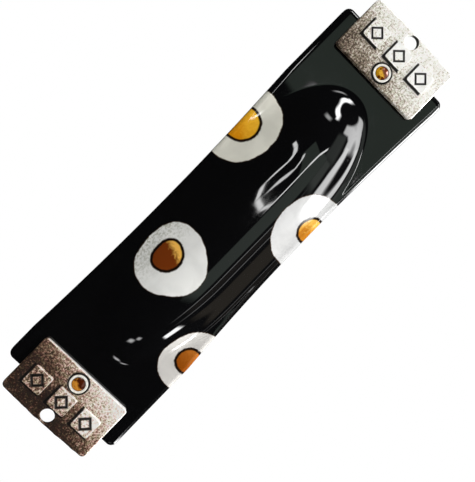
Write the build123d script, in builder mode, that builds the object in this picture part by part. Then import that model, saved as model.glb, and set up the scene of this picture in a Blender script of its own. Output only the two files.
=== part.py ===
from build123d import *
from math import cos, pi, radians, sin, sqrt
import os

# A fused-glass mezuzah case, stood upright as it hangs on a doorpost. Millimetres.
# +X is to the right, +Z is up, and the front faces -Y. The back of the glass is the plane Y = 0,
# and the origin is the centre of that back face. Heights below are distances in front of the back face.

# Glass panel
PANEL_WIDTH = 41.4
PANEL_LENGTH = 143.0
PANEL_THICKNESS = 5.5
PANEL_CORNER = 2.0
WAIST_LEFT = 1.3  # how far the slumped sides draw in, along an arc
WAIST_LEFT_Z = -8.0  # where each side is drawn in most
WAIST_RIGHT = 1.8
WAIST_RIGHT_Z = 14.0
WAIST_REACH = 53.0  # half-length of each arc

# Hump over the scroll channel
HUMP_HEIGHT = 8.5
HUMP_HALF_WIDTH = 19.3
HUMP_FULL_HALF = 14.4  # half-length over which the hump keeps its full section
HUMP_TAPER = 40.0  # length of each rounded end
CROWN_FULLNESS = 0.7  # broadens the crown of the section
SURFACE_STEP_X = 1.0
SURFACE_STEP_Z = 1.5
SURFACE_MARGIN = 3.0
SURFACE_TOLERANCE = 0.01
SURFACE_RIPPLE = 0.03  # the sheet may stand this far proud of its flat margin

# Scroll channel in the back, a half-round groove with round ends
CHANNEL_RADIUS = 10.0
CHANNEL_STRAIGHT_HALF = 36.0

# Glass inlays, cut by hand. Each outline is x, z, mean radius, then how far it is oval and the direction
# of its long axis, and how far it is three-lobed and the direction of one lobe, as shares and degrees.
INLAY_DEPTH = 1.2
OUTLINE_POINTS = 18
INLAYS = {
    "upper_left": ((-20.2, 23.9, 12.2, 0.0, 0, 0.045, 60), (-19.2, 23.9, 5.5, 0.0, 0, 0.01, 60)),
    "middle": ((-5.8, -19.2, 10.5, 0.04, 95, 0.06, 2), (-7.8, -19.0, 4.45, 0.11, 90, 0.04, 0)),
    "right": ((18.9, 14.4, 12.4, 0.0, 0, 0.03, 230), (18.2, 15.6, 4.2, 0.05, 60, 0.02, 230)),
    "lower_right": ((20.8, -37.2, 10.25, 0.0, 0, 0.04, 100), (19.2, -37.3, 4.0, 0.0, 0, 0.02, 100)),
}

# Cast end plates
PLATE_WIDTH = 32.0
PLATE_LENGTH = 18.8
PLATE_THICKNESS = 1.8
PLATE_BOW = 0.45  # how far the outer edge bulges at its middle
PLATE_CORNER = 1.3
PLATE_EDGE_ROUND = 0.35
PLATE_INNER_Z = 59.7
TILE_SIDE = 6.5
TILE_PITCH = 9.35
TILE_HEIGHT = 1.0
TILE_Z = 70.4
DIAMOND_SIDE = 3.5
DIAMOND_GROOVE = 0.5
DIAMOND_DEPTH = 0.35
NAIL_HOLE_RADIUS = 2.15
NAIL_HOLE_Z = 76.3

# Adhesive bed between each plate and the glass
BED_WIDTH = 27.0
BED_LENGTH = 7.0
BED_THICKNESS = 0.5
BED_INSET = 1.0  # from the plate's inner edge

# Crystal and its bezel, in a shallow recess of each plate
GEM_Z = 63.4
RECESS_RADIUS = 3.15
RECESS_DEPTH = 0.6
BEZEL_RADIUS = 2.75
BEZEL_HEIGHT = 1.3
BEZEL_SEAT_RADIUS = 2.05
BEZEL_FLOOR = 0.3
BEZEL_LIP = 0.25
GEM_GIRDLE_HEIGHT = 0.55
GEM_CROWN_HEIGHT = 0.75
GEM_TABLE_RADIUS = 1.2
GEM_FACETS = 8

# Scroll, its sleeve and the strip that closes the channel
COVER_THICKNESS = 1.2
COVER_CLEARANCE = 0.2
THUMB_NOTCH_RADIUS = 3.5
SCROLL_CENTRE_HEIGHT = 5.55
SCROLL_RADIUS = 3.7
SCROLL_BORE_RADIUS = 1.2
SCROLL_LENGTH = 70.0
SLEEVE_WALL = 0.3
SLEEVE_LENGTH = 71.0

FACE = Plane.XZ  # local x is +X, local y is +Z, and its normal points to the front
os.makedirs("parts", exist_ok=True)


def hump_rise(x, z):
    """How far the front of the glass stands above its flat margin at this place."""
    t = max(0.0, abs(z) - HUMP_FULL_HALF) / HUMP_TAPER
    if t >= 1.0:
        return 0.0
    u = x / (HUMP_HALF_WIDTH * sqrt(1.0 - t * t))
    if abs(u) >= 1.0:
        return 0.0
    crest = 1.0 - 4.0 * t**6 + 3.0 * t**8
    section = (1.0 - u * u) ** 2 * (1.0 + CROWN_FULLNESS * u * u)
    return HUMP_HEIGHT * crest * section


def steps(low, high, step):
    """Evenly spaced values from low to high, both included, about one step apart."""
    count = round((high - low) / step)
    return [low + (high - low) * i / count for i in range(count + 1)]


def front_surface(depth):
    """The front of the glass as one smooth sheet, moved back by depth."""
    half_x = PANEL_WIDTH / 2 + SURFACE_MARGIN
    half_z = PANEL_LENGTH / 2 + SURFACE_MARGIN
    flat = depth - PANEL_THICKNESS
    heights = steps(-half_z, half_z, SURFACE_STEP_Z)
    rows = []
    for x in steps(-half_x, half_x, SURFACE_STEP_X):
        rows.append([(x, flat - hump_rise(x, z), z) for z in heights])
    return Face.make_surface_from_array_of_points(rows, tol=SURFACE_TOLERANCE)


def drawn_in_side(x, middle_z, pull):
    """A long side of the panel, drawn in along an arc. It runs upwards."""
    low, high = middle_z - WAIST_REACH, middle_z + WAIST_REACH
    return ThreePointArc((x, low), (x + pull, middle_z), (x, high))


def outline_points(x, z, radius, oval, oval_turn, lobe, lobe_turn):
    """Points round the outline of a hand-cut inlay."""
    points = []
    for i in range(OUTLINE_POINTS):
        turn = 2 * pi * i / OUTLINE_POINTS
        waver = oval * cos(2 * (turn - radians(oval_turn))) + lobe * cos(3 * (turn - radians(lobe_turn)))
        reach = radius * (1 + waver)
        points.append((x + reach * cos(turn), z + reach * sin(turn)))
    return points


def finish(builder, name):
    """Labels a finished piece and writes its file."""
    builder.part.label = name
    export_step(builder.part, f"parts/{name}.step")


glass_front = front_surface(0.0)
inlay_back = front_surface(INLAY_DEPTH)
tallest = PANEL_THICKNESS + HUMP_HEIGHT + SURFACE_MARGIN
half_width = PANEL_WIDTH / 2
half_length = PANEL_LENGTH / 2

# The scroll channel's space: half of a round bar with round ends, lying on the back plane
with BuildPart() as channel:
    with BuildSketch(Plane.XY.offset(-CHANNEL_STRAIGHT_HALF)):
        Circle(CHANNEL_RADIUS)
    extrude(amount=2 * CHANNEL_STRAIGHT_HALF)
    with Locations((0, 0, -CHANNEL_STRAIGHT_HALF), (0, 0, CHANNEL_STRAIGHT_HALF)):
        Sphere(CHANNEL_RADIUS)

# The whole panel of glass, before the inlays are let into its front
with BuildPart() as blank:
    with BuildSketch(FACE) as outline:
        with BuildLine():
            left = drawn_in_side(-half_width, WAIST_LEFT_Z, WAIST_LEFT)
            right = drawn_in_side(half_width, WAIST_RIGHT_Z, -WAIST_RIGHT)
            for side, end_z in ((1, half_length), (0, -half_length)):
                left_end, right_end = left @ side, right @ side
                Polyline(left_end, (left_end.X, end_z), (right_end.X, end_z), right_end)
        make_face()
        fillet(outline.vertices().filter_by(lambda v: abs(v.Y) > half_length - 0.1), PANEL_CORNER)
    extrude(amount=tallest)
    split(bisect_by=glass_front, keep=Keep.BOTTOM)
    add(channel.part, mode=Mode.SUBTRACT)


def inlay_blank(outline):
    """A piece of glass let flush into the front of the panel."""
    with BuildPart() as inlay:
        with BuildSketch(FACE):
            with BuildLine():
                Spline(*outline_points(*outline), periodic=True)
            make_face()
        extrude(amount=tallest)
        add(blank.part, mode=Mode.INTERSECT)
        split(bisect_by=inlay_back, keep=Keep.TOP)
    return inlay.part


# Black glass, with a pocket for each inlay
with BuildPart() as glass_panel:
    add(blank.part)
    for white, amber in INLAYS.values():
        add(inlay_blank(white), mode=Mode.SUBTRACT)
finish(glass_panel, "glass_panel")

for name, (white, amber) in INLAYS.items():
    with BuildPart() as amber_disc:
        add(inlay_blank(amber))
    finish(amber_disc, f"amber_disc_{name}")
    with BuildPart() as white_disc:
        add(inlay_blank(white))
        add(amber_disc.part, mode=Mode.SUBTRACT)
    finish(white_disc, f"white_disc_{name}")

# End plates, each glued to the front of the glass and reaching past its end to the nail hole
plate_back = PANEL_THICKNESS + BED_THICKNESS
plate_front = plate_back + PLATE_THICKNESS
plate_outer_z = PLATE_INNER_Z + PLATE_LENGTH
bed_middle_z = PLATE_INNER_Z + BED_INSET + BED_LENGTH / 2
bezel_back = plate_front - RECESS_DEPTH
gem_back = bezel_back + BEZEL_FLOOR

for name, side in (("upper", 1), ("lower", -1)):
    with BuildPart() as end_plate:
        with BuildSketch(FACE.offset(plate_back)) as plate_outline:
            with BuildLine():
                half_plate = PLATE_WIDTH / 2
                outer_edge = ThreePointArc(
                    (-half_plate, side * plate_outer_z),
                    (0, side * (plate_outer_z + PLATE_BOW)),
                    (half_plate, side * plate_outer_z),
                )
                Polyline(
                    outer_edge @ 1,
                    (half_plate, side * PLATE_INNER_Z),
                    (-half_plate, side * PLATE_INNER_Z),
                    outer_edge @ 0,
                )
            make_face()
            fillet(plate_outline.vertices(), PLATE_CORNER)
        extrude(amount=PLATE_THICKNESS)
        fillet(end_plate.faces().sort_by(Axis.Y)[0].edges(), PLATE_EDGE_ROUND)
        with BuildSketch(FACE.offset(plate_front)):
            with Locations((0, side * GEM_Z)):
                Circle(RECESS_RADIUS)
        extrude(amount=-RECESS_DEPTH, mode=Mode.SUBTRACT)
        tile_places = [(i * TILE_PITCH, side * TILE_Z) for i in (-1, 0, 1)]
        with BuildSketch(FACE.offset(plate_front)):
            with Locations(*tile_places):
                Rectangle(TILE_SIDE, TILE_SIDE)
        extrude(amount=TILE_HEIGHT)
        with BuildSketch(FACE.offset(plate_front + TILE_HEIGHT)):
            with Locations(*tile_places):
                Rectangle(DIAMOND_SIDE, DIAMOND_SIDE, rotation=45)
                inner_side = DIAMOND_SIDE - 2 * DIAMOND_GROOVE
                Rectangle(inner_side, inner_side, rotation=45, mode=Mode.SUBTRACT)
        extrude(amount=-DIAMOND_DEPTH, mode=Mode.SUBTRACT)
        with BuildSketch(FACE.offset(plate_back)):
            with Locations((0, side * NAIL_HOLE_Z)):
                Circle(NAIL_HOLE_RADIUS)
        extrude(amount=PLATE_THICKNESS, mode=Mode.SUBTRACT)
    finish(end_plate, f"{name}_end_plate")

    with BuildPart() as adhesive_bed:
        with BuildSketch(FACE.offset(plate_back)):
            with Locations((0, side * bed_middle_z)):
                RectangleRounded(BED_WIDTH, BED_LENGTH, 2 * BED_THICKNESS)
        extrude(amount=SURFACE_RIPPLE - BED_THICKNESS)
    finish(adhesive_bed, f"{name}_adhesive_bed")

    with BuildPart() as bezel:
        with BuildSketch(FACE.offset(bezel_back)):
            with Locations((0, side * GEM_Z)):
                Circle(BEZEL_RADIUS)
        extrude(amount=BEZEL_HEIGHT)
        with BuildSketch(FACE.offset(gem_back)):
            with Locations((0, side * GEM_Z)):
                Circle(BEZEL_SEAT_RADIUS)
        extrude(amount=BEZEL_HEIGHT, mode=Mode.SUBTRACT)
        rim = bezel.faces().sort_by(Axis.Y)[0]
        chamfer(rim.edges().sort_by(SortBy.LENGTH)[0], BEZEL_LIP)
        fillet(bezel.faces().sort_by(Axis.Y)[0].edges().sort_by(SortBy.LENGTH)[-1], BEZEL_LIP)
    finish(bezel, f"{name}_bezel")

    with BuildPart() as gem:
        with BuildSketch(FACE.offset(gem_back)):
            with Locations((0, side * GEM_Z)):
                Circle(BEZEL_SEAT_RADIUS)
        extrude(amount=GEM_GIRDLE_HEIGHT)
        with BuildSketch(FACE.offset(gem_back + GEM_GIRDLE_HEIGHT)):
            with Locations((0, side * GEM_Z)):
                RegularPolygon(BEZEL_SEAT_RADIUS, GEM_FACETS)
        with BuildSketch(FACE.offset(gem_back + GEM_GIRDLE_HEIGHT + GEM_CROWN_HEIGHT)):
            with Locations((0, side * GEM_Z)):
                RegularPolygon(GEM_TABLE_RADIUS, GEM_FACETS)
        loft()
    finish(gem, f"{name}_gem")

# Strip that closes the mouth of the channel, flush with the back of the glass
mouth_radius = sqrt(CHANNEL_RADIUS**2 - COVER_THICKNESS**2)
with BuildPart() as back_cover:
    with BuildSketch(FACE):
        SlotCenterToCenter(2 * CHANNEL_STRAIGHT_HALF, 2 * (mouth_radius - COVER_CLEARANCE), rotation=90)
        with Locations((0, -CHANNEL_STRAIGHT_HALF - mouth_radius)):
            Circle(THUMB_NOTCH_RADIUS, mode=Mode.SUBTRACT)
    extrude(amount=COVER_THICKNESS)
finish(back_cover, "back_cover")

# Rolled parchment in its clear sleeve, upright behind the hump
with BuildPart() as scroll:
    with BuildSketch(Plane.XY.offset(-SCROLL_LENGTH / 2)):
        with Locations((0, -SCROLL_CENTRE_HEIGHT)):
            Circle(SCROLL_RADIUS)
            Circle(SCROLL_BORE_RADIUS, mode=Mode.SUBTRACT)
    extrude(amount=SCROLL_LENGTH)
finish(scroll, "scroll")

with BuildPart() as scroll_sleeve:
    with BuildSketch(Plane.XY.offset(-SLEEVE_LENGTH / 2)):
        with Locations((0, -SCROLL_CENTRE_HEIGHT)):
            Circle(SCROLL_RADIUS + SLEEVE_WALL)
            Circle(SCROLL_RADIUS, mode=Mode.SUBTRACT)
    extrude(amount=SLEEVE_LENGTH)
finish(scroll_sleeve, "scroll_sleeve")
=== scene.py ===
"""Looks of a fused-glass mezuzah case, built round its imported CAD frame. Blender works in metres.

The case stands upright: +X right, +Z up, front to -Y, back of the glass on Y = 0. Shapes are worked
out in millimetres, as heights in front of the back plane over the plan (x, z), and new_piece() turns
them into metres.
"""

from math import cos, pi, radians, sin, sqrt

import bpy
import numpy as np
from mathutils import Matrix, Vector


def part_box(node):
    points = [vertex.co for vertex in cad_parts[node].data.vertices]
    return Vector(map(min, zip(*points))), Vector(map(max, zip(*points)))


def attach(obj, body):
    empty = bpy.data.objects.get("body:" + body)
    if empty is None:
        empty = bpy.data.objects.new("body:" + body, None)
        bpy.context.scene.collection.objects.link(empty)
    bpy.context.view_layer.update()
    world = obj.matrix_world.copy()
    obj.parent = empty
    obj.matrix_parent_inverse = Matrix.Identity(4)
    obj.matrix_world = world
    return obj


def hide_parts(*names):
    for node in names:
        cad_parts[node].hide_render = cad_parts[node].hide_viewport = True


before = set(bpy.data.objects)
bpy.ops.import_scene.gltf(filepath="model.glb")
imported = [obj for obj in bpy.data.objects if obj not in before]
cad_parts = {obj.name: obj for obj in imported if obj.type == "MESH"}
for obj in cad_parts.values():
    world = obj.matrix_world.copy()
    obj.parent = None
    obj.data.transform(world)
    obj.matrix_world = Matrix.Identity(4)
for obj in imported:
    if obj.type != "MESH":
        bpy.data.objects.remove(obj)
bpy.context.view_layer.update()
MM = 0.001


def box_mm(node):
    """Lowest and highest corners of a CAD node, in millimetres."""
    low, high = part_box(node)
    return np.array(low) / MM, np.array(high) / MM


# ---- sizes, in millimetres

PANEL_LOW, PANEL_HIGH = box_mm("glass_panel")
HALF_WIDTH = PANEL_HIGH[0]
HALF_LENGTH = PANEL_HIGH[2]
MARGIN_THICKNESS = 5.5
PANEL_CORNER = 2.0
EDGE_ROUND = 1.7
BACK_ROUND = 0.7
WAIST_LEFT = (1.3, -8.0)  # how far each long side draws in, and where
WAIST_RIGHT = (1.8, 14.0)
WAIST_REACH = 53.0

HUMP_HEIGHT = -PANEL_LOW[1] - MARGIN_THICKNESS
HUMP_HALF_WIDTH = 19.3
HUMP_FULL_HALF = 14.4
HUMP_TAPER = 40.0
CROWN_FULLNESS = 0.7

CHANNEL_RADIUS = 10.0
CHANNEL_STRAIGHT_HALF = 36.0
MOUTH_ROUND = 0.35
CHANNEL_STEPS = 12
CROWN_GAP = 0.03  # radians left to each side of the channel's crown, closed by one flat strip

GLASS_STEP = 0.35
ROUND_STEPS = 8
INLAY_DEPTH = 1.2

# Each inlay's white disc and amber centre, cut by hand: x, z, mean radius, then how far it is oval and
# the direction of its long axis, how far it is three-lobed and the direction of one lobe, and a seed.
INLAYS = {
    "upper_left": {
        "white": (-20.2, 23.9, 12.2, 0.0, 0, 0.045, 60, 1),
        "amber": (-19.2, 23.9, 5.5, 0.0, 0, 0.01, 60, 2),
    },
    "middle": {
        "white": (-5.8, -19.2, 10.5, 0.04, 95, 0.06, 2, 3),
        "amber": (-7.8, -19.0, 4.45, 0.11, 90, 0.04, 0, 4),
    },
    "right": {
        "white": (18.9, 14.4, 12.4, 0.0, 0, 0.03, 230, 5),
        "amber": (18.2, 15.6, 4.2, 0.05, 60, 0.02, 230, 6),
    },
    "lower_right": {
        "white": (20.8, -37.2, 10.25, 0.0, 0, 0.04, 100, 7),
        "amber": (19.2, -37.3, 4.0, 0.0, 0, 0.02, 100, 8),
    },
}

PLATE_LOW, PLATE_HIGH = box_mm("upper_end_plate")
PLATE_HALF_WIDTH = PLATE_HIGH[0]
PLATE_INNER_Z = PLATE_LOW[2]
PLATE_BOW = 0.45
PLATE_OUTER_Z = PLATE_HIGH[2] - PLATE_BOW
PLATE_BACK = -PLATE_HIGH[1]
PLATE_THICKNESS = 1.8
PLATE_FRONT = PLATE_BACK + PLATE_THICKNESS
PLATE_CORNER = 1.3
PLATE_EDGE_ROUND = 0.4
PLATE_STEP = 0.12
# Painted light and shade: plate side faces that look toward PALER_TOWARD are painted paler, those that
# look away painted dark.
PALER_TOWARD = np.array((0.6, 0.0, 0.8))  # the side faces that look this way are the paler ones
TILE_SIDE = 6.5
TILE_PITCH = 9.35
TILE_HEIGHT = 0.98
TILE_DRAFT = 0.1
TILE_Z = 70.4
DIAMOND_HALF = 2.12  # from the middle to the groove's middle, along the plate's axes
DIAMOND_GROOVE = 0.34
DIAMOND_DEPTH = 0.4
NAIL_HOLE_RADIUS = 2.15
NAIL_HOLE_ROUND = 0.3
NAIL_HOLE_Z = 76.3

GEM_Z = 63.4
RECESS_RADIUS = 3.15
RECESS_DEPTH = 0.6
# The dark ring round the gem's recess is patina and painted shade.
RECESS_DARK = 0.4  # how far the dark ring reaches past the recess
BEZEL_RADIUS = 2.75
BEZEL_BACK = PLATE_FRONT - RECESS_DEPTH
BEZEL_FLOOR = BEZEL_BACK + 0.3
BEZEL_STEPS = 96
GEM_RADIUS = 2.05
GEM_STAR_RADIUS = 1.62
GEM_TABLE_RADIUS = 1.12


# ---- helpers for shapes


def value_noise(x, z, size, seed):
    """Smooth noise from -1 to 1 over the plan, with lumps about size across."""
    lattice = np.random.default_rng(seed).uniform(-1, 1, (64, 64))
    gx, gz = np.asarray(x) / size + 17.3, np.asarray(z) / size + 31.7
    ix, iz = np.floor(gx).astype(int), np.floor(gz).astype(int)
    fx, fz = gx - ix, gz - iz
    fx, fz = fx * fx * (3 - 2 * fx), fz * fz * (3 - 2 * fz)
    corner = [[lattice[(ix + a) % 64, (iz + b) % 64] for b in (0, 1)] for a in (0, 1)]
    low = corner[0][0] * (1 - fz) + corner[0][1] * fz
    high = corner[1][0] * (1 - fz) + corner[1][1] * fz
    return low * (1 - fx) + high * fx


def smooth_step(value, low, high):
    """0 below low, 1 above high, and smooth between them."""
    t = np.clip((value - low) / (high - low), 0, 1)
    return t * t * (3 - 2 * t)


def rounded_box_distance(across, along, radius):
    """Distance in from an outline with rounded corners, from the distances to its two nearest sides."""
    in_x, in_z = np.clip(radius - across, 0, None), np.clip(radius - along, 0, None)
    return np.where((in_x > 0) & (in_z > 0), radius - np.hypot(in_x, in_z), np.minimum(across, along))


def rounded_off(distance, radius):
    """How far a rounded edge or corner falls back at this distance from its end."""
    rest = radius - np.clip(distance, 0, radius)
    return radius - np.sqrt(radius**2 - rest**2)


def spread(low, high, radius, step):
    """Steps across a rounded outline: mm into the low rounding, share of the middle, mm into the high."""
    turn = 1 - np.cos(np.linspace(0, pi / 2, ROUND_STEPS + 1))
    count = round((high - low - 2 * radius) / step)
    middle = np.linspace(0, 1, count + 1)[1:-1]
    near = [(t * radius, 0.0, 0.0) for t in turn]
    between = [(radius, m, 0.0) for m in middle]
    far = [(radius, 1.0, radius * (1 - t)) for t in turn[::-1]]
    return np.array(near + between + far)


def place(shares, low, high, radius):
    """Positions between low and high for the steps that spread() gives."""
    return low + shares[:, 0] + shares[:, 1] * (high - low - 2 * radius) + shares[:, 2]


# ---- sheets over the plan


class Sheet:
    """Polygons over the plan, each with a label, which can be split along curves."""

    def __init__(self, plan_grid):
        rows, columns = plan_grid.shape[:2]
        self.plan = [tuple(p) for p in plan_grid.reshape(-1, 2)]
        corner = np.arange(rows * columns).reshape(rows, columns)
        quads = np.stack([corner[:-1, :-1], corner[:-1, 1:], corner[1:, 1:], corner[1:, :-1]], axis=-1)
        self.faces = [tuple(q) for q in quads.reshape(-1, 4).tolist()]
        self.labels = ["body"] * len(self.faces)
        edge = np.concatenate([corner[0, :-1], corner[:-1, -1], corner[-1, :0:-1], corner[:0:-1, 0]])
        self.rim = edge.tolist()

    def cut(self, field, label):
        """Splits the faces along field = 0, and labels what lies below 0."""
        plan = np.array(self.plan)
        values = field(*plan.T).tolist()
        crossings, faces, labels = {}, [], []

        def crossing(a, b):
            key = (min(a, b), max(a, b))
            if key not in crossings:
                t = values[a] / (values[a] - values[b])
                (ax, az), (bx, bz) = self.plan[a], self.plan[b]
                crossings[key] = len(self.plan)
                self.plan.append((ax + (bx - ax) * t, az + (bz - az) * t))
            return crossings[key]

        for face, old in zip(self.faces, self.labels):
            below = [values[i] < 0 for i in face]
            if all(below) or not any(below):
                faces.append(face)
                labels.append(label if below[0] else old)
                continue
            inside, outside = [], []
            for k, a in enumerate(face):
                b = face[(k + 1) % len(face)]
                (inside if below[k] else outside).append(a)
                if below[k] != below[(k + 1) % len(face)]:
                    inside.append(crossing(a, b))
                    outside.append(inside[-1])
            faces += [tuple(inside), tuple(outside)]
            labels += [label, old]
        rim = []
        for k, a in enumerate(self.rim):
            b = self.rim[(k + 1) % len(self.rim)]
            rim.append(a)
            if (min(a, b), max(a, b)) in crossings:
                rim.append(crossings[(min(a, b), max(a, b))])
        self.faces, self.labels, self.rim = faces, labels, rim

    def labelled(self, wanted):
        """The faces that carry this label."""
        return [f for f, label in zip(self.faces, self.labels) if label == wanted]


def open_edges(faces):
    """Directed edges that only one face has."""
    edges = {(f[k], f[(k + 1) % len(f)]) for f in faces for k in range(len(f))}
    return [(a, b) for a, b in edges if (b, a) not in edges]


def vertex_normals(points, faces):
    """Smooth normals, weighted by area."""
    total = np.zeros_like(points)
    for size in {len(f) for f in faces}:
        chosen = np.array([f for f in faces if len(f) == size])
        corners = points[chosen]
        turned = np.cross(corners, np.roll(corners, -1, axis=1)).sum(axis=1)
        for k in range(size):
            np.add.at(total, chosen[:, k], turned)
    return total / (np.linalg.norm(total, axis=1, keepdims=True) + 1e-12)


def to_space(plan, height):
    """Plan positions and heights as points in the row frame, in millimetres."""
    plan = np.asarray(plan)
    return np.stack([plan[:, 0], -np.asarray(height), plan[:, 1]], axis=1)


def new_piece(
    name, points, faces, node, body, materials, normals=None, kinds=None, values=(), sharp=None
):
    """Makes one closed mesh object from points in millimetres, and gives it its place in the frame.
    Edges that turn by more than sharp degrees are drawn sharp."""
    used = sorted({i for f in faces for i in f})
    index = {old: new for new, old in enumerate(used)}
    mesh = bpy.data.meshes.new(name)
    points = np.asarray(points, float)
    mesh.from_pydata((points[used] * MM).tolist(), [], [[index[i] for i in f] for f in faces])
    piece = bpy.data.objects.new(name, mesh)
    bpy.context.scene.collection.objects.link(piece)
    for material in materials:
        mesh.materials.append(material)
    if kinds is not None:
        mesh.polygons.foreach_set("material_index", kinds)
    mesh.shade_smooth()
    for key, numbers in values:
        layer = mesh.attributes.new(key, "FLOAT", "POINT")
        layer.data.foreach_set("value", np.asarray(numbers, np.float32)[used])
    if normals is not None:
        mesh.normals_split_custom_set_from_vertices(np.asarray(normals)[used].tolist())
    if sharp:
        mesh.set_sharp_from_angle(angle=radians(sharp))
    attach(piece, body)
    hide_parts(node)
    return piece


def skirt(points, faces, loop, rings):
    """Carries a closed loop of vertices on through rings of points, and returns the last ring too."""
    points = list(points)
    for ring in rings:
        new = list(range(len(points), len(points) + len(loop)))
        points += [tuple(p) for p in ring]
        for k in range(len(loop)):
            n = (k + 1) % len(loop)
            faces.append((loop[n], loop[k], new[k], new[n]))
        loop = new
    return points, loop


# ---- the glass


def waist(z, pull, middle):
    """How far a long side draws in at this height."""
    t = np.clip((z - middle) / WAIST_REACH, -1, 1)
    return pull * (1 - t * t)


def hump_rise(x, z):
    """How far the front stands above its flat margin."""
    t = np.clip((np.abs(z) - HUMP_FULL_HALF) / HUMP_TAPER, 0, 1)
    u = np.clip(x / (HUMP_HALF_WIDTH * np.sqrt(1 - t * t) + 1e-9), -1, 1)
    crest = 1 - 4 * t**6 + 3 * t**8
    return HUMP_HEIGHT * crest * (1 - u * u) ** 2 * (1 + CROWN_FULLNESS * u * u)


def glass_height(x, z):
    """Height of the front of the glass, with its fire-polished edges."""
    across = np.minimum(x + HALF_WIDTH - waist(z, *WAIST_LEFT), HALF_WIDTH - waist(z, *WAIST_RIGHT) - x)
    distance = rounded_box_distance(across, HALF_LENGTH - np.abs(z), PANEL_CORNER)
    return MARGIN_THICKNESS + hump_rise(x, z) - rounded_off(distance, EDGE_ROUND)


def outline_field(x, z, centre_x, centre_z, radius, oval, oval_turn, lobe, lobe_turn, seed):
    """Distance outside the wavering, hand-cut outline of a disc."""
    angle = np.arctan2(z - centre_z, x - centre_x)
    waver = oval * np.cos(2 * (angle - radians(oval_turn)))
    waver = waver + lobe * np.cos(3 * (angle - radians(lobe_turn)))
    chance = np.random.default_rng(seed)
    for ripple in (5, 7, 11, 16):
        waver = waver + chance.uniform(0.002, 0.006) * np.cos(ripple * angle + chance.uniform(0, 2 * pi))
    return np.hypot(x - centre_x, z - centre_z) - radius * (1 + waver)


def glass_sheet():
    """The front of the panel, cut along the outlines of its inlays."""
    shares_x = spread(-HALF_WIDTH, HALF_WIDTH, EDGE_ROUND, GLASS_STEP)
    shares_z = spread(-HALF_LENGTH, HALF_LENGTH, EDGE_ROUND, GLASS_STEP)
    rows = []
    for z in place(shares_z, -HALF_LENGTH, HALF_LENGTH, EDGE_ROUND):
        corner = rounded_off(HALF_LENGTH - abs(z), PANEL_CORNER)
        left = -HALF_WIDTH + waist(z, *WAIST_LEFT) + corner
        right = HALF_WIDTH - waist(z, *WAIST_RIGHT) - corner
        x = place(shares_x, left, right, EDGE_ROUND)
        rows.append(np.stack([x, np.full_like(x, z)], axis=1))
    sheet = Sheet(np.array(rows))
    for name, inlay in INLAYS.items():
        for kind in ("white", "amber"):
            node = f"{kind}_disc_{name}"
            sheet.cut(lambda x, z, outline=inlay[kind]: outline_field(x, z, *outline), node)
    return sheet


def channel_ring(plan, radius, height):
    """The ring of the scroll channel at this radius, matched point by point to an outer outline."""
    middle_z = np.clip(plan[:, 1], -CHANNEL_STRAIGHT_HALF, CHANNEL_STRAIGHT_HALF)
    away = np.stack([plan[:, 0], plan[:, 1] - middle_z], axis=1)
    away /= np.linalg.norm(away, axis=1, keepdims=True)
    ring = np.stack([radius * away[:, 0], middle_z + radius * away[:, 1]], axis=1)
    return to_space(ring, np.full(len(plan), height))


def glass_body(sheet):
    """The whole outside of the panel: front, sides, back and the scroll channel."""
    plan = np.array(sheet.plan)
    points = to_space(plan, glass_height(*plan.T))
    rim = plan[sheet.rim]
    along = np.roll(rim, -1, axis=0) - np.roll(rim, 1, axis=0)
    inward = np.stack([-along[:, 1], along[:, 0]], axis=1)
    inward /= np.linalg.norm(inward, axis=1, keepdims=True)
    turn = np.linspace(0, pi / 2, ROUND_STEPS + 1)
    rings = [
        to_space(rim + inward * BACK_ROUND * (1 - cos(a)), np.full(len(rim), BACK_ROUND * (1 - sin(a))))
        for a in turn
    ]
    back = rim + inward * BACK_ROUND
    mouth = [
        (CHANNEL_RADIUS + MOUTH_ROUND * (1 - sin(a)), MOUTH_ROUND * (1 - cos(a))) for a in turn[::2]
    ]
    start = MOUTH_ROUND / CHANNEL_RADIUS
    bore = [
        (CHANNEL_RADIUS * cos(a), CHANNEL_RADIUS * sin(a))
        for a in np.linspace(start, pi / 2 - CROWN_GAP, CHANNEL_STEPS + 1)[1:]
    ]
    faces = []
    points, loop = skirt(points, faces, sheet.rim, rings)
    back_start = len(faces)
    rings = [channel_ring(back, radius, height) for radius, height in mouth + bore]
    points, loop = skirt(points, faces, loop, rings)
    faces.append(tuple(loop[::-1]))
    return np.array(points), faces, back_start


def make_glass(materials):
    """The black panel with a pocket for each inlay, and the inlays let flush into it."""
    sheet = glass_sheet()
    points, sides, back_start = glass_body(sheet)
    kinds = [int(k >= back_start) for k in range(len(sides))]
    normals = vertex_normals(points, sheet.faces + sides)
    count = len(points)
    sunk = points - normals * INLAY_DEPTH
    both = np.concatenate([points, sunk])

    def lowered(face):
        return tuple(i + count for i in face)

    front = sheet.labelled("body")
    inlaid = [f for f, label in zip(sheet.faces, sheet.labels) if label != "body"]
    walls = [(a, b, b + count, a + count) for a, b in open_edges(inlaid)]
    pocket = [lowered(f) for f in inlaid] + walls
    new_piece(
        "black_glass_panel", both, front + pocket + sides, "glass_panel", "case",
        [materials["black_glass"], materials["kiln_back"]], np.concatenate([normals, normals]),
        [0] * len(front + pocket) + kinds,
    )
    x, z = both[:, 0], both[:, 2]
    for name, inlay in INLAYS.items():
        to_white = -outline_field(x, z, *inlay["white"])
        to_amber = outline_field(x, z, *inlay["amber"])
        for kind, values in (
            ("white", (("to_rim", to_white), ("to_centre", to_amber))),
            ("amber", (("to_rim", -to_amber),)),
        ):
            node = f"{kind}_disc_{name}"
            patch = sheet.labelled(node)
            under = [lowered(f)[::-1] for f in patch]
            walls = [(b, a, a + count, b + count) for a, b in open_edges(patch)]
            new_piece(
                f"{node}_glass", both, patch + under + walls, node, "case",
                [materials[f"{kind}_{name}"]], np.concatenate([normals, -normals]), values=values,
            )


# ---- end plates


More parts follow.
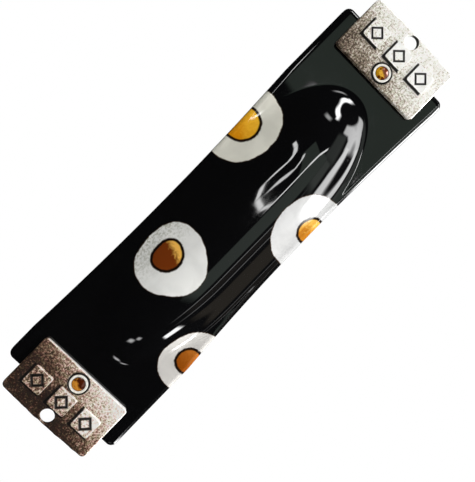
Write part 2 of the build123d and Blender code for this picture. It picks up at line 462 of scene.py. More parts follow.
def plate_outer(x, seed):
    """The plate's outer edge, bowed, with the unevenness of hand filing."""
    bow = PLATE_BOW * (1 - (x / PLATE_HALF_WIDTH) ** 2)
    return PLATE_OUTER_Z + bow + 0.12 * (value_noise(x, 0 * x, 1.6, seed) - 0.9)


def diamond_groove(x, s, floor, edge):
    """1 along the diamonds' grooves out to one half-width, falling to 0 at another."""
    groove = 0 * x
    for column in (-1, 0, 1):
        reach = np.abs(x - column * TILE_PITCH) + np.abs(s - TILE_Z)
        off = np.abs(reach - DIAMOND_HALF)
        groove = np.maximum(groove, 1 - smooth_step(off, floor, edge))
    return groove


def tile_shade(x, s, turn, floor, edge):
    """A painted shadow: 1 at the foot of the tiles, on the two sides that it lies on, falling to 0 away
    from them.
    """
    shade = 0 * x
    for column in (-1, 0, 1):
        across, along = turn * (x - column * TILE_PITCH), turn * (s - TILE_Z)
        off = np.maximum(np.abs(across), np.abs(along)) - TILE_SIDE / 2
        hidden = across + along < 0
        beside = hidden & (off > -TILE_DRAFT) & (np.maximum(across, along) < TILE_SIDE / 2)
        shade = np.maximum(shade, beside * (1 - smooth_step(off, floor, edge)))
    return shade


def plate_height(x, s, seed):
    """Height of a plate's cast face. s is the distance out from the middle of the case."""
    side = PLATE_HALF_WIDTH - np.abs(x)
    corner = rounded_off(side, PLATE_CORNER)
    end = np.minimum(s - PLATE_INNER_Z - corner, plate_outer(x, seed) - corner - s)
    height = PLATE_FRONT - rounded_off(np.minimum(side, np.clip(end, 0, None)), PLATE_EDGE_ROUND)
    height += 0.05 * value_noise(x, s, 2.3, seed + 1) + 0.02 * value_noise(x, s, 0.8, seed + 2)
    height -= 0.04 * smooth_step(value_noise(x, s, 0.5, seed + 3), 0.45, 0.8)
    for column in (-1, 0, 1):
        across, along = np.abs(x - column * TILE_PITCH), np.abs(s - TILE_Z)
        reach = (across**10 + along**10) ** 0.1 + 0.03 * value_noise(x, s, 1.1, seed + 4)
        top = 1 - smooth_step(reach, TILE_SIDE / 2 - TILE_DRAFT, TILE_SIDE / 2 + TILE_DRAFT)
        height += top * TILE_HEIGHT
    height -= diamond_groove(x, s, 0.45 * DIAMOND_GROOVE, DIAMOND_GROOVE) * DIAMOND_DEPTH
    from_gem = np.hypot(x, s - GEM_Z)
    height -= (1 - smooth_step(from_gem, RECESS_RADIUS - 0.15, RECESS_RADIUS + 0.1)) * RECESS_DEPTH
    height -= rounded_off(np.hypot(x, s - NAIL_HOLE_Z) - NAIL_HOLE_RADIUS, NAIL_HOLE_ROUND)
    return np.maximum(height, PLATE_BACK + 0.3)


def ring_faces(points, outer, inner, centre):
    """Triangles between an outer and an inner loop, both seen from the centre of the inner one."""
    def turned(loop):
        angle = np.arctan2(points[loop, 2] - centre[1], points[loop, 0] - centre[0])
        order = np.argsort(angle)
        return [loop[i] for i in order], angle[order]

    (outer, outer_angle), (inner, inner_angle) = turned(outer), turned(inner)
    faces, i, k = [], 0, 0
    while i < len(outer) or k < len(inner):
        next_outer = outer_angle[i] if i < len(outer) else 9.0
        next_inner = inner_angle[k] if k < len(inner) else 9.0
        a, b = outer[i - 1], inner[k - 1]
        if next_outer <= next_inner:
            faces.append((a, b, outer[i]))
            i += 1
        else:
            faces.append((a, b, inner[k]))
            k += 1
    return faces


def make_plate(name, seed, turn, patina_and_shade_reach, materials):
    """One cast plate. turn is 1 for the upper one, and -1 turns it about Y for the lower one."""
    shares_x = spread(-PLATE_HALF_WIDTH, PLATE_HALF_WIDTH, PLATE_EDGE_ROUND, PLATE_STEP)
    shares_s = spread(PLATE_INNER_Z, PLATE_OUTER_Z, PLATE_EDGE_ROUND, PLATE_STEP)
    columns = []
    for x in place(shares_x, -PLATE_HALF_WIDTH, PLATE_HALF_WIDTH, PLATE_EDGE_ROUND):
        corner = rounded_off(PLATE_HALF_WIDTH - abs(x), PLATE_CORNER)
        outer = plate_outer(np.array([x]), seed)[0] - corner
        s = place(shares_s, PLATE_INNER_Z + corner, outer, PLATE_EDGE_ROUND)
        columns.append(np.stack([np.full_like(s, x), s], axis=1))
    sheet = Sheet(np.array(columns).transpose(1, 0, 2))
    sheet.cut(lambda x, s: np.hypot(x, s - NAIL_HOLE_Z) - NAIL_HOLE_RADIUS, "hole")
    plan = np.array(sheet.plan)
    height = plate_height(*plan.T, seed)
    points = to_space(plan, height)
    front = sheet.labelled("body")
    edges = open_edges(front)
    rim = sorted({i for edge in edges for i in edge})
    low = {i: len(points) + k for k, i in enumerate(rim)}
    points = np.concatenate([points, to_space(plan[rim], np.full(len(rim), PLATE_BACK))])
    walls = [(b, a, low[a], low[b]) for a, b in edges]
    around = set(sheet.rim)
    outer = [low[i] for i in rim if i in around]
    inner = [low[i] for i in rim if i not in around]
    back = ring_faces(points, outer, inner, (0, NAIL_HOLE_Z))
    # A dark mask of patina and painted shade: a ring round the gem's recess and the diamonds' grooves, and
    # painted shadows at the tiles' feet.
    from_gem = np.hypot(plan[:, 0], plan[:, 1] - GEM_Z)
    patina_and_shade = 1 - smooth_step(from_gem, RECESS_RADIUS, RECESS_RADIUS + RECESS_DARK)
    patina_and_shade = np.maximum(patina_and_shade, diamond_groove(*plan.T, *patina_and_shade_reach))
    patina_and_shade = np.maximum(patina_and_shade, tile_shade(*plan.T, turn, *patina_and_shade_reach))
    rise = smooth_step(height - PLATE_FRONT, 0.5, 0.8)
    patina_and_shade, rise = (np.concatenate([values, np.zeros(len(rim))]) for values in (patina_and_shade, rise))
    points[:, [0, 2]] *= turn
    # Painted light and shade: facing is how far each side face looks toward PALER_TOWARD; the plate's long
    # sides and inner edge are kept from the painted shade.
    facing = vertex_normals(points, front + walls) @ PALER_TOWARD
    on_edge = PLATE_HALF_WIDTH - np.abs(points[:, 0]) < PLATE_EDGE_ROUND
    on_edge |= np.abs(points[:, 2]) < PLATE_INNER_Z + PLATE_EDGE_ROUND
    facing[on_edge] = np.maximum(facing[on_edge], 0)
    new_piece(
        f"{name}_cast_plate", points, front + walls + back, f"{name}_end_plate", "case",
        [materials[f"{name}_pewter"]], values=(("patina_and_shade", patina_and_shade), ("facing", facing), ("rise", rise)),
        sharp=50,
    )


def lathe(profile, steps, middle_z):
    """Points and faces of a closed profile of (radius, height) turned about the crystal's axis."""
    points, faces = [], []
    for k in range(steps):
        a = 2 * pi * k / steps
        points += [(r * cos(a), -h, middle_z + r * sin(a)) for r, h in profile]
    count = len(profile)
    for k in range(steps):
        n = (k + 1) % steps
        for i in range(count):
            j = (i + 1) % count
            faces.append((k * count + j, k * count + i, n * count + i, n * count + j))
    return np.array(points), faces


def make_crystal(name, turn, materials):
    """A faceted crystal in its round metal cup."""
    middle_z = turn * GEM_Z
    low, floor = BEZEL_BACK, BEZEL_FLOOR
    side, bore = BEZEL_RADIUS, GEM_RADIUS
    profile = [
        (0.05, low), (side - 0.15, low), (side, low + 0.15), (side, low + 1.02), (side - 0.05, low + 1.14),
        (side - 0.16, low + 1.22), (bore + 0.12, low + 1.16), (bore, low + 1.04), (bore - 0.05, floor),
        (0.05, floor),
    ]
    points, faces = lathe(profile, BEZEL_STEPS, middle_z)
    new_piece(
        f"{name}_bezel_cup", points, faces, f"{name}_bezel", "case",
        [materials["bright_pewter"]], values=(("height", -points[:, 1] - low),), sharp=35,
    )

    girdle, table, culet = floor + 0.62, floor + 1.2, floor + 0.03
    rings = [  # radius, height, number of corners, and their shift as a share of one side
        (0.0, culet, 1, 0),
        (GEM_RADIUS, girdle - 0.05, 16, 0),
        (GEM_RADIUS, girdle + 0.05, 16, 0),
        (GEM_STAR_RADIUS, girdle + 0.36, 8, 0.5),
        (GEM_TABLE_RADIUS, table, 8, 0),
    ]
    points = []
    for radius, height, count, shift in rings:
        for k in range(count):
            a = 2 * pi * (k + shift) / count
            points.append((radius * cos(a), -height, middle_z + radius * sin(a)))
    faces = []
    under, over, star, table_ring = 1, 17, 33, 41
    for k in range(16):
        n = (k + 1) % 16
        faces.append((0, under + n, under + k))
        faces.append((under + k, under + n, over + n, over + k))
    for k in range(8):
        n, p = (k + 1) % 8, 2 * k
        faces.append((over + p, over + p + 1, star + k))
        faces.append((over + p + 1, over + (p + 2) % 16, star + k))
        faces.append((over + (p + 2) % 16, star + n, table_ring + n, star + k))
        faces.append((star + k, table_ring + n, table_ring + k))
    faces.append(tuple(table_ring + k for k in range(8)))
    points = np.array(points)
    girdle_points = np.hypot(points[:, 0], points[:, 2] - middle_z) > 0.95 * GEM_RADIUS
    piece = new_piece(
        f"{name}_crystal", points, faces, f"{name}_gem", "case",
        [materials[f"{name}_crystal"]], values=(("girdle", girdle_points),),
    )
    piece.data.shade_flat()
    facets = np.arange(len(faces))
    shades = value_noise(facets * 1.7, facets * 0.9, 1.0, 70 + turn)
    layer = piece.data.attributes.new("facet", "FLOAT", "FACE")
    layer.data.foreach_set("value", shades.astype(np.float32))


# ---- scroll, sleeve, cover, adhesive

SCROLL_LOW, SCROLL_HIGH = box_mm("scroll")
SCROLL_RADIUS = SCROLL_HIGH[0]
SCROLL_MIDDLE = -(SCROLL_LOW[1] + SCROLL_HIGH[1]) / 2
SHEET_THICKNESS = 0.2
SCROLL_BORE = 1.3
SCROLL_TURNS = 4.45
SCROLL_SLIP = 0.5  # how far the parchment's turns stand out of line at their ends
SLEEVE_HIGH = box_mm("scroll_sleeve")[1]
FILM_THICKNESS = 0.12
FILM_TURNS = 1.12
ROLL_STEPS = 72  # for each turn
ROLL_ROWS = 24
THUMB_NOTCH = 3.5
COVER_BEVEL = 0.25
BED_BEVEL = 0.15


def rolled_sheet(name, inner, outer, turns, thickness, half_height, node, stuff, slip):
    """A sheet rolled up about the vertical axis of the scroll, with its edges slightly out of line."""
    around, rows = int(turns * ROLL_STEPS), ROLL_ROWS
    share = np.linspace(0, 1, around + 1)
    angle = share * turns * 2 * pi + 0.6
    middle = inner + (outer - inner) * share - thickness / 2
    points = []
    for wall in (thickness / 2, -thickness / 2):
        for row in range(rows + 1):
            up = 2 * row / rows - 1
            ragged = 0.1 * value_noise(angle, angle * 0 + up, 0.9, 21) + 0.1
            edge = half_height - slip * (1 - share) - ragged
            wave = 0.035 * value_noise(angle * outer, angle * 0 + up * 9, 3.0, 22)
            r = np.minimum(middle + wall + wave, outer - 0.01 - (thickness / 2 - wall))
            depth = r * np.sin(angle) - SCROLL_MIDDLE
            points.append(np.stack([r * np.cos(angle), depth, up * edge], axis=1))
    points = np.concatenate(points)
    span, skin = around + 1, (around + 1) * (rows + 1)
    outer_skin = []
    for row in range(rows):
        for k in range(around):
            a, b = row * span + k, row * span + k + 1
            outer_skin.append((a, b, b + span, a + span))
    faces = outer_skin + [tuple(i + skin for i in face[::-1]) for face in outer_skin]
    faces += [(b, a, a + skin, b + skin) for a, b in open_edges(outer_skin)]
    new_piece(name, points, faces, node, "scroll", [stuff], sharp=50)


def slab(name, outline, low, high, bevel, node, body, stuff):
    """A flat piece of this outline between two heights, with softened edges."""
    count = len(outline)
    plan = np.array(outline)
    points = np.concatenate([to_space(plan, np.full(count, high)), to_space(plan, np.full(count, low))])
    faces = [tuple(range(count)), tuple(range(2 * count - 1, count - 1, -1))]
    faces += [((k + 1) % count, k, k + count, (k + 1) % count + count) for k in range(count)]
    piece = new_piece(name, points, faces, node, body, [stuff], sharp=40)
    soft = piece.modifiers.new("soft_edges", "BEVEL")
    soft.width = bevel * MM
    soft.segments = 3
    soft.limit_method = "ANGLE"
    soft.angle_limit = radians(50)


def make_cover(stuff):
    """The strip that closes the channel, with its thumb notch at the lower end."""
    low, high = box_mm("back_cover")
    radius, notch = high[0], THUMB_NOTCH
    straight = high[2] - radius
    notch_z = -CHANNEL_STRAIGHT_HALF - sqrt(CHANNEL_RADIUS**2 - low[1] ** 2)
    outline = [(radius * cos(a), straight + radius * sin(a)) for a in np.linspace(0, pi, 49)]
    lower = [(radius * cos(a), -straight + radius * sin(a)) for a in np.linspace(pi, 2 * pi, 97)]
    lower = [(x, z) for x, z in lower if np.hypot(x, z - notch_z) > notch]
    left, right = [p for p in lower if p[0] < 0], [p for p in lower if p[0] > 0]
    first, last = (np.arctan2(z - notch_z, x) for x, z in (left[-1], right[0]))
    bite = [(notch * cos(a), notch_z + notch * sin(a)) for a in np.linspace(first, last, 25)]
    outline += left + bite[1:-1] + right
    slab(
        "channel_cover", outline, 0.0, -low[1], COVER_BEVEL, "back_cover", "back_cover",
        stuff,
    )


def make_bed(name, seed, stuff):
    """The adhesive between a plate and the glass, squeezed out unevenly."""
    low, high = box_mm(f"{name}_adhesive_bed")
    middle = (low[2] + high[2]) / 2
    half_x, half_z = high[0], (high[2] - low[2]) / 2
    outline = []
    for a in np.linspace(0, 2 * pi, 180, endpoint=False):
        reach = (abs(cos(a)) ** 12 + abs(sin(a)) ** 12) ** (-1 / 12)
        ooze = 0.97 + 0.03 * value_noise(a, 0.0, 0.2, seed)
        outline.append((half_x * ooze * reach * cos(a), middle + half_z * ooze * reach * sin(a)))
    slab(
        f"{name}_bed_of_adhesive", outline, -high[1], -low[1], BED_BEVEL, f"{name}_adhesive_bed", "case",
        stuff,
    )


# ---- materials


def add_node(tree, kind, inputs=(), **settings):
    """A node with these settings. Its inputs go by name or in order, each a value or a link."""
    node = tree.nodes.new(kind)
    for key, value in settings.items():
        setattr(node, key, value)
    for key, value in inputs.items() if isinstance(inputs, dict) else enumerate(inputs):
        if isinstance(value, bpy.types.NodeSocket):
            tree.links.new(value, node.inputs[key])
        else:
            node.inputs[key].default_value = value
    return node


def mapped(tree, source, low, high, to_low, to_high, **settings):
    """Maps a value from one range to another, clamped."""
    inputs = {"Value": source, "From Min": low, "From Max": high, "To Min": to_low, "To Max": to_high}
    return add_node(tree, "ShaderNodeMapRange", inputs, **settings).outputs["Result"]


class Stuff:
    """A procedural material: a Principled shader, and short ways to make the nodes that drive it."""

    def __init__(self, name, color, roughness, metallic=0.0, **sockets):
        self.material = bpy.data.materials.new(name)
        self.material.use_nodes = True
        self.tree = self.material.node_tree
        self.shader = self.tree.nodes["Principled BSDF"]
        self.shader.inputs["Base Color"].default_value = (*color, 1)
        self.shader.inputs["Roughness"].default_value = roughness
        self.shader.inputs["Metallic"].default_value = metallic
        for key, value in sockets.items():
            self.shader.inputs[key.replace("_", " ")].default_value = value
        self.place = self.tree.nodes.new("ShaderNodeTexCoord").outputs["Object"]

    def noise(self, size_mm, detail=4.0, rough=0.55, warp=0.0):
        """Noise with lumps of about this size."""
        inputs = {"Scale": 1 / (size_mm * MM), "Detail": detail, "Roughness": rough, "Distortion": warp}
        inputs["Vector"] = self.place
        return add_node(self.tree, "ShaderNodeTexNoise", inputs).outputs["Fac"]

    def attribute(self, name):
        """A number that the mesh carries at each of its points."""
        return add_node(self.tree, "ShaderNodeAttribute", attribute_name=name).outputs["Fac"]

    def ramp(self, source, stops):
        """Colours along a value: each stop is (position, colour)."""
        node = add_node(self.tree, "ShaderNodeValToRGB", [source])
        points = node.color_ramp.elements
        while len(points) < len(stops):
            points.new(0.5)
        for point, (position, color) in zip(points, stops):
            point.position = position
            point.color = (*color, 1)
        return node.outputs["Color"]

    def span(self, source, low, high, to_low=0.0, to_high=1.0):
        """Maps a value from one range to another, clamped."""
        return mapped(self.tree, source, low, high, to_low, to_high)

    def across(self, share_x, share_z):
        """How far a point lies along a direction in the plan, in metres."""
        inputs = (self.place, (share_x, 0, share_z))
        node = add_node(self.tree, "ShaderNodeVectorMath", inputs, operation="DOT_PRODUCT")
        return node.outputs["Value"]

    def math(self, kind, a, b):
        """One arithmetic step on two values."""
        return add_node(self.tree, "ShaderNodeMath", (a, b), operation=kind).outputs["Value"]

    def mix(self, share, a, b, kind="MIX"):
        """Mixes two colours, each a socket or three numbers."""
        node = self.tree.nodes.new("ShaderNodeMix")
        node.data_type = "RGBA"
        node.blend_type = kind
        for key, value in (("Factor", share), ("A", a), ("B", b)):
            wanted = "VALUE" if key == "Factor" else "RGBA"
            socket = next(s for s in node.inputs if s.name == key and s.type == wanted)
            if isinstance(value, (int, float)):
                socket.default_value = value
            elif isinstance(value, tuple):
                socket.default_value = (*value, 1)
            else:
                self.tree.links.new(value, socket)
        return next(s for s in node.outputs if s.type == "RGBA")

    def drive(self, **sources):
        """Links values to the shader's sockets."""
        for key, source in sources.items():
            self.tree.links.new(source, self.shader.inputs[key.replace("_", " ")])
        return self

    def bump(self, source, depth_mm):
        """Fine relief from a value."""
        inputs = {"Strength": 1.0, "Distance": depth_mm * MM, "Height": source}
        node = add_node(self.tree, "ShaderNodeBump", inputs)
        self.tree.links.new(node.outputs["Normal"], self.shader.inputs["Normal"])
        return self


def srgb(red, green, blue):
    """A colour given in the usual 0 to 255 steps, as linear light."""
    shares = (red / 255, green / 255, blue / 255)
    return tuple(((c + 0.055) / 1.055) ** 2.4 if c > 0.0393 else c / 12.92 for c in shares)


def clouded(name, shade, roughness, cloud, tones, grain, polish=None, **sockets):
    """A dull material in clouds of a few tones, with a fine grain and, if asked, uneven polish."""
    stuff = Stuff(name, srgb(*shade), roughness, **sockets)
    color = stuff.ramp(stuff.noise(*cloud), [(position, srgb(*tone)) for position, tone in tones])
    stuff.drive(Base_Color=color)
    if polish:
        stuff.drive(Roughness=stuff.span(stuff.noise(*polish[:2]), 0.3, 0.7, *polish[2:]))
    return stuff.bump(stuff.noise(*grain[:2]), grain[2]).material


GLASS_WAVE = 0.004  # depth of the fired glass's slow waves, in mm


def black_glass():
    """Black sheet glass, fire-polished."""
    stuff = Stuff("black_glass", srgb(7, 7, 8), 0.04, IOR=1.52)
    rough = stuff.span(stuff.noise(9.0, 3), 0.45, 0.75, 0.02, 0.06)
    return stuff.drive(Roughness=rough).bump(stuff.noise(6.0, 1.5), GLASS_WAVE).material


def kiln_back():
    """The back of the glass, dulled by the kiln shelf."""
    tones = [(0.35, (10, 10, 11)), (0.7, (26, 26, 27))]
    grain, polish = (0.5, 3, 0.03), (4.0, 4, 0.28, 0.5)
    return clouded("kiln_back", (14, 14, 15), 0.4, (6.0, 5), tones, grain, polish, IOR=1.52)


def white_glass(name, color, speckled):
    """Opal glass that turns speckled toward one side of the case."""
    stuff = Stuff(f"white_glass_{name}", srgb(*color), 0.06, IOR=1.52)
    cloud = stuff.noise(6.0, 3, 0.5, 0.3)
    faint = tuple(0.96 * c - 3 for c in color)
    body = stuff.ramp(cloud, [(0.35, srgb(*faint)), (0.6, srgb(*color))])
    grit = stuff.span(stuff.noise(0.7, 4, 0.65), 0.46, 0.6)
    speckling = stuff.math("MULTIPLY", grit, stuff.span(stuff.across(1, 0), *speckled))
    body = stuff.mix(stuff.math("MULTIPLY", speckling, 0.7), body, srgb(116, 118, 84))
    fray = stuff.span(stuff.noise(0.9, 3), 0.3, 0.7, -0.1, 0.1)
    ragged = stuff.math("ADD", stuff.attribute("to_rim"), fray)
    rim = stuff.span(ragged, 0.12, 0.34, 1.0, 0.0)
    color = stuff.mix(rim, body, srgb(52, 36, 20))
    fray = stuff.span(stuff.noise(0.7, 3), 0.3, 0.7, -0.1, 0.1)
    near = stuff.math("ADD", stuff.attribute("to_centre"), fray)
    ring = stuff.span(near, 0.2, 0.5, 1.0, 0.0)
    color = stuff.mix(ring, color, srgb(30, 18, 9))
    return stuff.drive(Base_Color=color).bump(stuff.noise(6.0, 1.5), GLASS_WAVE).material


def amber_glass(name, deep, bright, centre, toward, glow, streaks):
    """Amber glass over black, as an opaque gloss: deep in colour, with painted light making it brighter
    toward one side.
    """
    stuff = Stuff(f"amber_glass_{name}", srgb(*bright), 0.05, IOR=1.52)
    streak = stuff.span(stuff.noise(2.0, 5, 0.65, 1.4), 0.36, 0.64, -streaks, streaks)
    # Painted light: brighter toward one side, deeper away from it, wavering with the streaks.
    across = stuff.math("SUBTRACT", stuff.across(*toward), centre)
    lit = stuff.span(stuff.math("ADD", across, streak), *glow)
    body = stuff.ramp(lit, [(0.0, srgb(*deep)), (1.0, srgb(*bright))])
    edge = stuff.span(stuff.attribute("to_rim"), 0.34, 0.66, 1.0, 0.0)
    color = stuff.mix(edge, body, srgb(26, 15, 7))
    return stuff.drive(Base_Color=color).bump(stuff.noise(6.0, 1.5), GLASS_WAVE).material


# Painted light: the plates are painted paler toward PALER_CORNER.
PALER_CORNER = (0.45, 0.89)  # its direction in the plan
PEWTER_TONES = ((44, 33, 26), (98, 80, 66), (158, 143, 128), (220, 215, 205), (254, 253, 250))


def pewter(name, painted_light_span, tints, tile_wear, contrast):
    """Cast tin alloy: a mottled patina, paler on the tiles' tops. Painted light makes it paler toward one
    corner and on side faces that look toward PALER_TOWARD; painted shade darkens side faces that look away
    from it."""
    stuff = Stuff(f"{name}_pewter", srgb(180, 172, 160), 0.42, 0.3)
    grain = stuff.noise(0.6, 4, 0.8)
    blotch = stuff.noise(2.2, 4, 0.65, 0.5)
    mottle = stuff.span(grain, 0.36, 0.62, -0.42 * contrast, 0.26 * contrast)
    # Painted light: paler toward PALER_CORNER.
    tone = stuff.math("ADD", stuff.span(stuff.across(*PALER_CORNER), *painted_light_span), mottle)
    tone = stuff.math("ADD", tone, stuff.span(blotch, 0.38, 0.62, -0.14, 0.14))
    facing = stuff.attribute("facing")
    # Painted light: side faces that look toward PALER_TOWARD are made paler.
    tone = stuff.math("ADD", tone, stuff.span(facing, 0.15, 0.7, 0.0, 0.7))
    tone = stuff.math("ADD", tone, stuff.math("MULTIPLY", stuff.attribute("rise"), tile_wear))
    color = stuff.ramp(tone, [(k / 4, srgb(*shade)) for k, shade in enumerate(PEWTER_TONES)])
    hue = stuff.ramp(stuff.noise(1.1, 3, 0.6), [(0.42, tints[0]), (0.58, tints[1])])
    color = stuff.mix(stuff.span(tone, 0.55, 1.4, 1.0, 0.0), color, hue, "MULTIPLY")
    # Patina and painted shade: the dark mask, and painted shade on side faces that look away from
    # PALER_TOWARD.
    patina_and_shade = stuff.math("MAXIMUM", stuff.attribute("patina_and_shade"), stuff.span(facing, -0.15, -0.5, 0.0, 1.0))
    color = stuff.mix(stuff.math("MULTIPLY", patina_and_shade, 0.97), color, srgb(12, 9, 7))
    rough = stuff.span(patina_and_shade, 0.0, 1.0, 0.42, 0.95)
    metal = stuff.span(patina_and_shade, 0.0, 0.6, 0.3, 0.0)
    return stuff.drive(Base_Color=color, Roughness=rough, Metallic=metal).bump(grain, 0.02).material


def bright_pewter():
    """The rolled collar of the cup, polished pale, dark below its rim with dirt and painted shade."""
    stuff = Stuff("bright_pewter", srgb(248, 244, 234), 0.35, 0.1)
    color = stuff.ramp(stuff.noise(0.8, 5, 0.6), [(0.3, srgb(226, 219, 203)), (0.6, srgb(254, 252, 245))])
    # Dirt and painted shade: the cup darkens low down, where it sits in the plate's recess.
    dirt_and_shade = stuff.span(stuff.attribute("height"), 0.9, 1.08, 1.0, 0.0)
    color = stuff.mix(dirt_and_shade, color, srgb(20, 16, 12))
    return stuff.drive(Base_Color=color).material


def crystal(name, middle_z, deep, bright):
    """Foil-backed amber crystal: its colour goes from bright to deep across it as painted light, facet by
    facet as painted reflections.
    """
    stuff = Stuff(f"{name}_amber_crystal", srgb(*bright), 0.06, 0.4, IOR=1.55, Coat_Weight=1.0)
    # Painted light: bright on one side and deep away from it; the facet tones are painted reflections.
    away = stuff.math("SUBTRACT", stuff.across(0.6, 0.8), 0.8 * middle_z * MM)
    away = stuff.math("ADD", away, stuff.span(stuff.noise(1.2, 2), 0.3, 0.7, -0.6 * MM, 0.6 * MM))
    away = stuff.math("ADD", away, stuff.span(stuff.attribute("facet"), 0.2, 0.8, -1.0 * MM, 1.0 * MM))
    away = stuff.span(away, -1.4 * MM, -0.5 * MM)
    color = stuff.ramp(away, [(0.05, srgb(*bright)), (0.95, srgb(*deep))])
    color = stuff.mix(stuff.span(stuff.attribute("girdle"), 0.45, 0.95), color, srgb(36, 16, 4))
    return stuff.drive(Base_Color=color).material


def parchment():
    """Cream skin, clouded brown."""
    tones = [(0.3, (198, 172, 124)), (0.55, (226, 208, 168)), (0.75, (238, 226, 194))]
    return clouded("parchment", (226, 208, 168), 0.62, (5.0, 6, 0.65), tones, (0.35, 4, 0.03))


def clear_film():
    """Thin see-through film, slightly scuffed."""
    stuff = Stuff("clear_film", (0.95, 0.97, 0.97), 0.08, IOR=1.45, Alpha=0.22)
    return stuff.drive(Roughness=stuff.span(stuff.noise(6.0, 3), 0.3, 0.7, 0.05, 0.2)).material


def cover_plastic():
    """Matt black plastic."""
    tones = [(0.35, (22, 22, 24)), (0.7, (36, 36, 38))]
    grain, polish = (0.25, 2, 0.02), (1.5, 4, 0.42, 0.6)
    return clouded("cover_plastic", (28, 28, 30), 0.5, (7.0, 4), tones, grain, polish)


def adhesive():
    """Dark grey bonding putty."""
    tones = [(0.3, (44, 44, 42)), (0.7, (78, 78, 74))]
    return clouded("adhesive", (60, 60, 58), 0.3, (2.0, 4), tones, (0.6, 3, 0.04))


# ---- the making

materials = {
    "black_glass": black_glass(),
    "kiln_back": kiln_back(),
    # The two plates are one pewter, painted as lit and shaded copies: each is painted paler toward
    # PALER_CORNER over its own span.
    "upper_pewter": pewter(
        name="upper",
        painted_light_span=(48 * MM, 66 * MM, 0.28, 1.14),
        tints=((0.91, 0.93, 0.8), (1.0, 0.92, 0.89)),
        tile_wear=0.3,
        contrast=1.3,
    ),
    "lower_pewter": pewter(
        name="lower",
        painted_light_span=(-66 * MM, -46 * MM, -0.04, 1.52),
        tints=((0.96, 0.84, 0.6), (1.0, 0.6, 0.52)),
        tile_wear=0.55,
        contrast=1.6,
    ),
    "bright_pewter": bright_pewter(),
    "upper_crystal": crystal("upper", GEM_Z, (128, 54, 4), (255, 186, 34)),
    "lower_crystal": crystal("lower", -GEM_Z, (92, 34, 6), (250, 166, 58)),
}
# Each inlay's glass: its opal colour, lighter or darker from disc to disc as painted light and shade, and
# where that turns speckled (from x, to x, in mm).
OPAL_GLASS = {
    "upper_left": ((228, 226, 213), (-19.5, -30)),
    "middle": ((230, 230, 226), (-6, -16)),
    "right": ((198, 198, 197), (5, -5)),
    "lower_right": ((212, 209, 204), (5, -5)),
}
# Its amber: the deep and bright colours, the direction of the painted light's brighter side, where the
# brightness fades and how far that wavers (in mm).
AMBER_GLASS = {
    "upper_left": ((214, 138, 14), (246, 188, 52), (0.5, 0.87), (-2.5, 4.5), 1.6),
    "middle": ((112, 50, 12), (240, 184, 84), (0.3, 0.95), (1.3, 3.0), 0.6),
    "right": ((178, 112, 26), (236, 186, 84), (-0.5, 0.87), (-1.0, 4.0), 1.8),
    "lower_right": ((146, 74, 12), (184, 108, 36), (0.0, 1.0), (-2.0, 4.5), 1.0),
}
for inlay_name, (deep, lit, facing, fade, streaks) in AMBER_GLASS.items():
    opal, speckled = OPAL_GLASS[inlay_name]
    amber_x, amber_z = INLAYS[inlay_name]["amber"][:2]
    middle = (facing[0] * amber_x + facing[1] * amber_z) * MM
    materials[f"white_{inlay_name}"] = white_glass(inlay_name, opal, [x * MM for x in speckled])
    materials[f"amber_{inlay_name}"] = amber_glass(
        inlay_name, deep, lit, middle, facing, [x * MM for x in fade], streaks * MM
    )

make_glass(materials)
# Each plate: name, seed, turn, and how far the dark of its grooves (patina and painted shade) and the
# painted shadows at its tiles' feet hold and then fade (in mm).
PLATES = (("upper", 40, 1, (0.34, 0.54)), ("lower", 60, -1, (0.46, 0.78)))
for plate_name, plate_seed, plate_turn, plate_dark_reach in PLATES:
    make_plate(plate_name, plate_seed, plate_turn, plate_dark_reach, materials)
    make_crystal(plate_name, plate_turn, materials)
    make_bed(plate_name, plate_seed + 9, adhesive())
rolled_sheet(
    "rolled_parchment", SCROLL_BORE, SCROLL_RADIUS, SCROLL_TURNS, SHEET_THICKNESS, SCROLL_HIGH[2],
    "scroll", parchment(), SCROLL_SLIP,
)
rolled_sheet(
    "film_sleeve", SCROLL_RADIUS + FILM_THICKNESS, SLEEVE_HIGH[0], FILM_TURNS, FILM_THICKNESS,
    SLEEVE_HIGH[2], "scroll_sleeve", clear_film(), 0.0,
)
make_cover(cover_plastic())


# ---- camera, floor and light

CAMERA_TARGET = (4.4, -5.5, -1.75)  # mm
CAMERA_DISTANCE = 236.3  # mm
CAMERA_AZIMUTH = -7.44  # degrees
CAMERA_ELEVATION = -2.68
CAMERA_ROLL = 44.25
FOCAL_LENGTH = 59.75  # mm, with the sensor's width
SENSOR = 36.0

turn, rise = radians(CAMERA_AZIMUTH), radians(CAMERA_ELEVATION)
back = Vector((sin(turn) * cos(rise), -cos(turn) * cos(rise), sin(rise)))
up = Vector((0, 0, 1))
up = (up - back * up.dot(back)).normalized()
up = Matrix.Rotation(radians(CAMERA_ROLL), 3, back) @ up
right = up.cross(back)
lens = bpy.data.cameras.new("camera")
lens.lens = FOCAL_LENGTH
lens.sensor_width = SENSOR
camera = bpy.data.objects.new("camera", lens)
bpy.context.scene.collection.objects.link(camera)
camera.matrix_world = Matrix.Translation((Vector(CAMERA_TARGET) + back * CAMERA_DISTANCE) * MM) @ Matrix(
    (right, up, back)
).transposed().to_4x4()
lens.clip_start, lens.clip_end = 0.01, 10
bpy.context.scene.camera = camera


